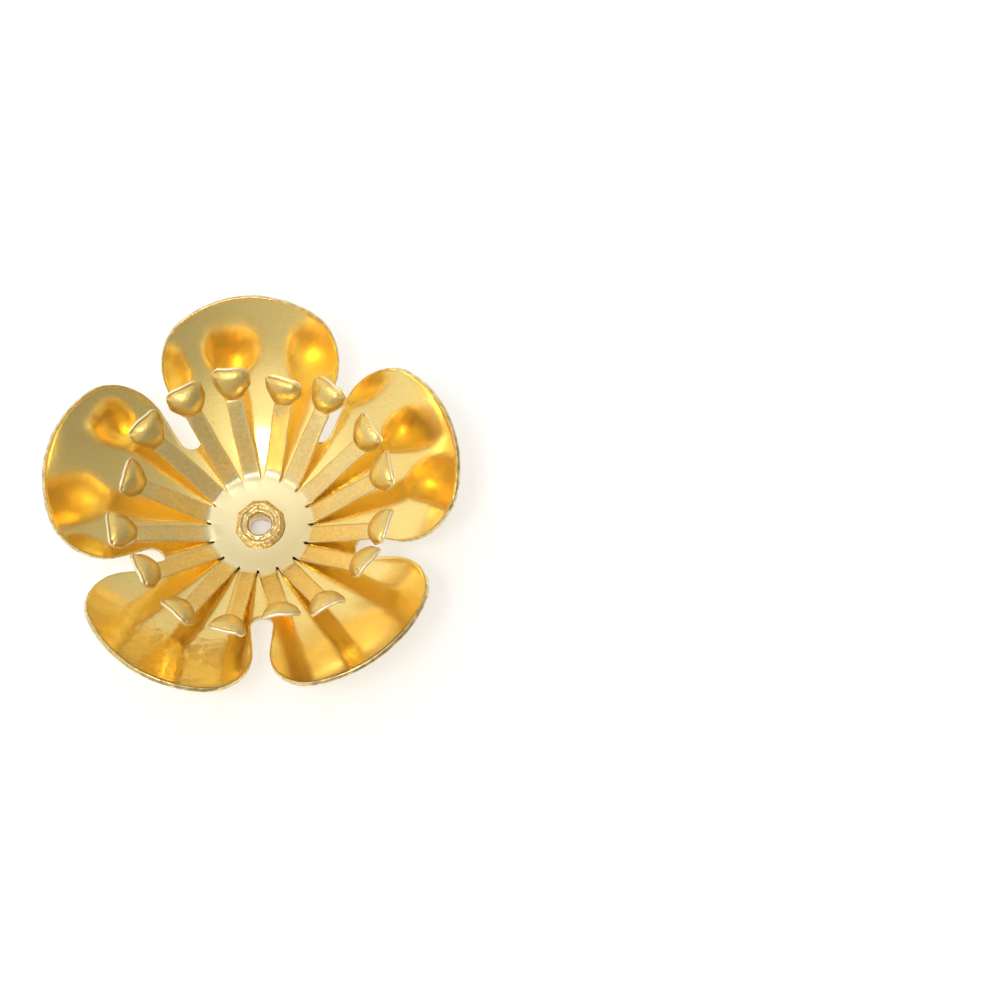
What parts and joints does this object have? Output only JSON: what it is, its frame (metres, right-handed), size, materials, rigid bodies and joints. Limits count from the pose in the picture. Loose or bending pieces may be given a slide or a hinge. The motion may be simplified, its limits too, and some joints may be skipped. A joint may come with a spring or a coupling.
{
  "type": "bead cap",
  "caption": "Flower bead cap: a domed dish with rounded petals, a crown of bent stamens with cupped ends, and a hollow rivet through both for a wire or head pin.",
  "frame": {"origin": "on the axis of the rivet's bore, level with the flat land under the dish", "axes": "+Z along the bore towards the open front of the flower, +Y through the tip of one petal"},
  "size_m": [0.0258, 0.0254, 0.0083],
  "materials": {
    "petal_sheet": "bright gold-coloured plating on stamped sheet, softly polished, with a raw sheared edge",
    "stamen_sheet": "bright gold-coloured plating, mirror-like on the flat disc, grainy on the bent strips",
    "rivet_metal": "duller gold-coloured plating on upset metal, finely rough"
  },
  "bodies": {
    "root": {"petal_dish": "petal_sheet", "stamen_crown": "stamen_sheet", "hollow_rivet": "rivet_metal"}
  },
  "joints": []
}
